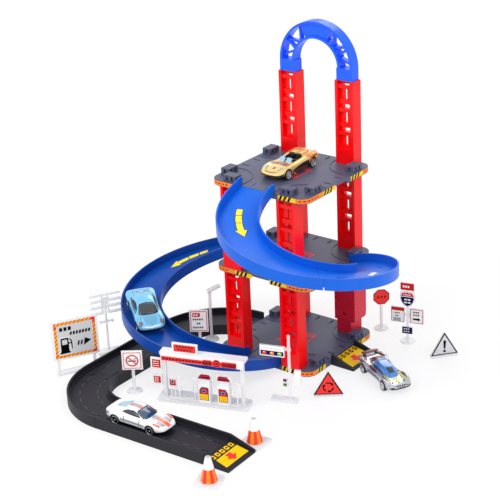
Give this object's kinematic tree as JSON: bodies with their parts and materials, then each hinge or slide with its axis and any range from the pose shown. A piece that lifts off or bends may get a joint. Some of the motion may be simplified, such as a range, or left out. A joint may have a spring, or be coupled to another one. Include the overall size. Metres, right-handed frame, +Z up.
{
  "type": "toy parking garage",
  "caption": "Clip-together toy parking garage: square decks on ladder columns, spiral car ramps, a road loop, road signs, a fuel station and die-cast cars whose wheels turn",
  "frame": {"origin": "middle of the ground deck's underside, on the surface that the toy stands on", "axes": "+X along the decks' front edge, towards the deck exit ramp; +Y towards the arch side; +Z up"},
  "size_m": [0.3303, 0.3741, 0.3436],
  "materials": {
    "deck_grey": "satin moulded plastic",
    "column_red": "glossy moulded plastic",
    "thick_column_red": "glossy moulded plastic",
    "arch_blue": "glossy moulded plastic",
    "ramp_blue": "glossy moulded plastic",
    "road_black": "matte moulded plastic",
    "sign_clear": "milky translucent plastic",
    "gold_paint": "metallic paint on die-cast metal",
    "blue_paint": "pearl paint on die-cast metal",
    "white_paint": "gloss paint on die-cast metal",
    "silver_paint": "metallic paint on die-cast metal",
    "chassis_black": "black moulded plastic",
    "window_tint": "tinted clear plastic",
    "wheel_black": "black plastic with chromed face"
  },
  "bodies": {
    "garage": {"ground_deck": "deck_grey", "middle_deck": "deck_grey", "top_deck": "deck_grey", "ground_column_left": "column_red", "ground_column_front": "column_red", "ground_column_back": "column_red", "middle_column_left": "column_red", "middle_column_front": "column_red", "middle_column_right": "column_red", "middle_column_back": "column_red", "top_column_right": "column_red", "top_column_back": "column_red", "ground_column_thick": "thick_column_red", "top_arch": "arch_blue", "upper_ramp_entry": "ramp_blue", "upper_ramp_exit": "ramp_blue", "lower_ramp_entry": "ramp_blue", "lower_ramp_exit": "ramp_blue", "road_curve_back": "road_black", "road_straight_side": "road_black", "road_curve_front": "road_black", "road_straight_front": "road_black", "road_exit_ramp": "road_black", "deck_exit_ramp": "road_black"},
    "billboard": {"billboard": "sign_clear"},
    "floodlight_mast": {"floodlight_mast": "sign_clear"},
    "prohibition_sign": {"prohibition_sign": "sign_clear"},
    "parking_sign": {"parking_sign": "sign_clear"},
    "street_lamp": {"street_lamp": "sign_clear"},
    "fuel_station": {"fuel_station_base": "sign_clear", "fuel_station_canopy": "sign_clear", "fuel_station_pumps": "sign_clear"},
    "traffic_light": {"traffic_light": "sign_clear"},
    "roundabout_sign": {"roundabout_sign": "sign_clear"},
    "warning_sign": {"warning_sign": "sign_clear"},
    "octagon_sign": {"octagon_sign": "sign_clear"},
    "route_sign": {"route_sign": "sign_clear"},
    "cone_1": {"cone_1": "sign_clear"},
    "cone_2": {"cone_2": "sign_clear"},
    "gold_car": {"gold_car_casting": "gold_paint", "gold_car_windows": "window_tint", "gold_car_chassis": "chassis_black"},
    "gold_car_front_wheels_body": {"gold_car_front_wheels": "wheel_black"},
    "gold_car_rear_wheels_body": {"gold_car_rear_wheels": "wheel_black"},
    "blue_coupe": {"blue_coupe_casting": "blue_paint", "blue_coupe_windows": "window_tint", "blue_coupe_chassis": "chassis_black"},
    "blue_coupe_front_wheels_body": {"blue_coupe_front_wheels": "wheel_black"},
    "blue_coupe_rear_wheels_body": {"blue_coupe_rear_wheels": "wheel_black"},
    "white_coupe": {"white_coupe_casting": "white_paint", "white_coupe_windows": "window_tint", "white_coupe_chassis": "chassis_black"},
    "white_coupe_front_wheels_body": {"white_coupe_front_wheels": "wheel_black"},
    "white_coupe_rear_wheels_body": {"white_coupe_rear_wheels": "wheel_black"},
    "silver_car": {"silver_car_casting": "silver_paint", "silver_car_windows": "window_tint", "silver_car_chassis": "chassis_black"},
    "silver_car_front_wheels_body": {"silver_car_front_wheels": "wheel_black"},
    "silver_car_rear_wheels_body": {"silver_car_rear_wheels": "wheel_black"}
  },
  "joints": [
    {"name": "billboard_lift", "type": "slide", "parent": "garage", "child": "billboard", "axis": [0, 0, 1], "range_m": [0, 0.05]},
    {"name": "floodlight_mast_lift", "type": "slide", "parent": "garage", "child": "floodlight_mast", "axis": [0, 0, 1], "range_m": [0, 0.05]},
    {"name": "prohibition_sign_lift", "type": "slide", "parent": "garage", "child": "prohibition_sign", "axis": [0, 0, 1], "range_m": [0, 0.05]},
    {"name": "parking_sign_lift", "type": "slide", "parent": "garage", "child": "parking_sign", "axis": [0, 0, 1], "range_m": [0, 0.05]},
    {"name": "street_lamp_lift", "type": "slide", "parent": "garage", "child": "street_lamp", "axis": [0, 0, 1], "range_m": [0, 0.05]},
    {"name": "fuel_station_lift", "type": "slide", "parent": "garage", "child": "fuel_station", "axis": [0, 0, 1], "range_m": [0, 0.05]},
    {"name": "traffic_light_lift", "type": "slide", "parent": "garage", "child": "traffic_light", "axis": [0, 0, 1], "range_m": [0, 0.05]},
    {"name": "roundabout_sign_lift", "type": "slide", "parent": "garage", "child": "roundabout_sign", "axis": [0, 0, 1], "range_m": [0, 0.05]},
    {"name": "warning_sign_lift", "type": "slide", "parent": "garage", "child": "warning_sign", "axis": [0, 0, 1], "range_m": [0, 0.05]},
    {"name": "octagon_sign_lift", "type": "slide", "parent": "garage", "child": "octagon_sign", "axis": [0, 0, 1], "range_m": [0, 0.05]},
    {"name": "route_sign_lift", "type": "slide", "parent": "garage", "child": "route_sign", "axis": [0, 0, 1], "range_m": [0, 0.05]},
    {"name": "cone_1_lift", "type": "slide", "parent": "garage", "child": "cone_1", "axis": [0, 0, 1], "range_m": [0, 0.05]},
    {"name": "cone_2_lift", "type": "slide", "parent": "garage", "child": "cone_2", "axis": [0, 0, 1], "range_m": [0, 0.05]},
    {"name": "gold_car_lift", "type": "slide", "parent": "garage", "child": "gold_car", "axis": [0, 0, 1], "range_m": [0, 0.04]},
    {"name": "gold_car_front_axle", "type": "hinge", "parent": "gold_car", "child": "gold_car_front_wheels_body", "pos_m": [-0.002, -0.0215, 0.2025], "axis": [1, 0, 0], "continuous": true},
    {"name": "gold_car_rear_axle", "type": "hinge", "parent": "gold_car", "child": "gold_car_rear_wheels_body", "pos_m": [-0.002, 0.0215, 0.2025], "axis": [1, 0, 0], "continuous": true},
    {"name": "blue_coupe_lift", "type": "slide", "parent": "garage", "child": "blue_coupe", "axis": [0, 0, 1], "range_m": [0, 0.04]},
    {"name": "blue_coupe_front_axle", "type": "hinge", "parent": "blue_coupe", "child": "blue_coupe_front_wheels_body", "pos_m": [-0.08831, -0.13359, 0.05303], "axis": [0.5878, 0.809, 0], "continuous": true},
    {"name": "blue_coupe_rear_axle", "type": "hinge", "parent": "blue_coupe", "child": "blue_coupe_rear_wheels_body", "pos_m": [-0.12216, -0.10899, 0.06294], "axis": [0.5878, 0.809, 0], "continuous": true},
    {"name": "white_coupe_lift", "type": "slide", "parent": "garage", "child": "white_coupe", "axis": [0, 0, 1], "range_m": [0, 0.04]},
    {"name": "white_coupe_front_axle", "type": "hinge", "parent": "white_coupe", "child": "white_coupe_front_wheels_body", "pos_m": [0.00457, -0.23302, 0.0115], "axis": [-0.0436, 0.999, 0], "continuous": true},
    {"name": "white_coupe_rear_axle", "type": "hinge", "parent": "white_coupe", "child": "white_coupe_rear_wheels_body", "pos_m": [-0.03839, -0.23489, 0.0115], "axis": [-0.0436, 0.999, 0], "continuous": true},
    {"name": "silver_car_lift", "type": "slide", "parent": "garage", "child": "silver_car", "axis": [0, 0, 1], "range_m": [0, 0.04]},
    {"name": "silver_car_front_axle", "type": "hinge", "parent": "silver_car", "child": "silver_car_front_wheels_body", "pos_m": [0.14289, -0.02776, 0.0055], "axis": [0.4772, 0.8788, 0], "continuous": true},
    {"name": "silver_car_rear_axle", "type": "hinge", "parent": "silver_car", "child": "silver_car_rear_wheels_body", "pos_m": [0.10511, -0.00724, 0.0055], "axis": [0.4772, 0.8788, 0], "continuous": true}
  ]
}
